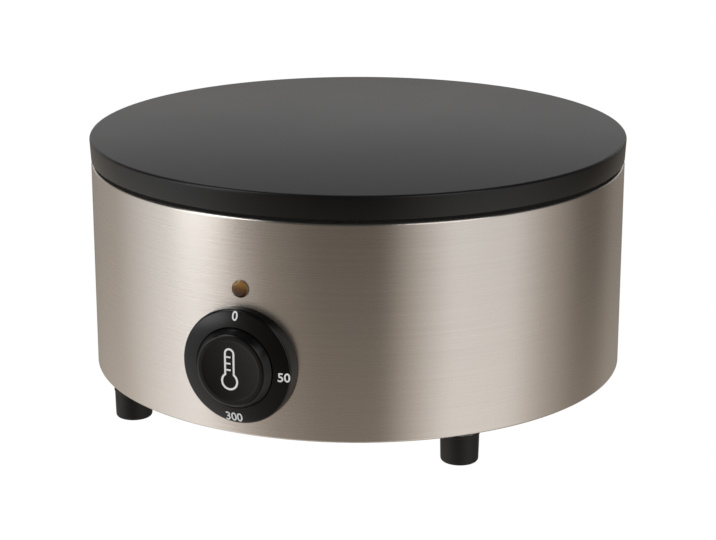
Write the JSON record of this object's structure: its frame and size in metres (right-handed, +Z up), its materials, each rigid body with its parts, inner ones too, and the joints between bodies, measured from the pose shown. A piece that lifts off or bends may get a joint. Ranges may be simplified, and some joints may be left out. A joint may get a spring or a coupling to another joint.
{
  "type": "electric crepe maker",
  "caption": "Round countertop electric crepe maker: black cast-iron cooking plate on a brushed steel drum with a turning thermostat knob, pilot lamp and short rubber feet.",
  "frame": {"origin": "on the cooking plate's axis, at the level that the feet stand on", "axes": "+Z up through the plate, -Y to the front with the dial, +Y to the cord gland"},
  "size_m": [0.35, 0.3788, 0.173],
  "materials": {
    "plate_iron": "smooth blackened cast iron, satin",
    "casing_steel": "brushed round the drum",
    "base_steel": "galvanised sheet",
    "bright_steel": "zinc-plated",
    "foot_rubber": "matte black",
    "gasket": "matte black",
    "dial_plastic": "satin black moulded plastic",
    "lamp_amber": "clear amber moulded plastic",
    "lamp_rim": "bright",
    "black_plastic": "matte nylon",
    "ceramic": "unglazed steatite",
    "insulation": "pressed mineral board",
    "heater_steel": "oxidised heater sheath",
    "brass": "plain",
    "copper": "copper tube",
    "aluminium": "plain"
  },
  "bodies": {
    "cooker": {"cooking_plate": "plate_iron", "plate_gasket": "gasket", "casing_shell": "casing_steel", "base_cover": "base_steel", "feet": "foot_rubber", "foot_studs": "bright_steel", "foot_nuts": "bright_steel", "tie_studs": "bright_steel", "tie_washers": "bright_steel", "tie_nuts": "bright_steel", "shield_spacers": "bright_steel", "shield_nuts": "bright_steel", "heating_element": "heater_steel", "element_terminals": "ceramic", "element_spider": "base_steel", "insulation_disc": "insulation", "heat_shield": "aluminium", "sensor_bulb": "copper", "bulb_saddle": "aluminium", "capillary_tube": "copper", "thermostat_bracket": "base_steel", "thermostat_body": "black_plastic", "thermostat_screws": "bright_steel", "dial_bezel": "dial_plastic", "lamp_rim": "lamp_rim", "lamp_lens": "lamp_amber", "lamp_body": "black_plastic", "lamp_nut": "bright_steel", "gland_body": "black_plastic", "gland_cap": "black_plastic", "gland_locknut": "black_plastic", "terminal_block": "ceramic", "terminal_screws": "bright_steel"},
    "control_knob": {"thermostat_shaft": "bright_steel", "knob": "dial_plastic", "knob_bush": "brass"}
  },
  "joints": [
    {"name": "knob_turn", "type": "hinge", "parent": "cooker", "child": "control_knob", "pos_m": [0, -0.18, 0.066], "axis": [0, 1, 0], "range_deg": [0, 183]}
  ]
}
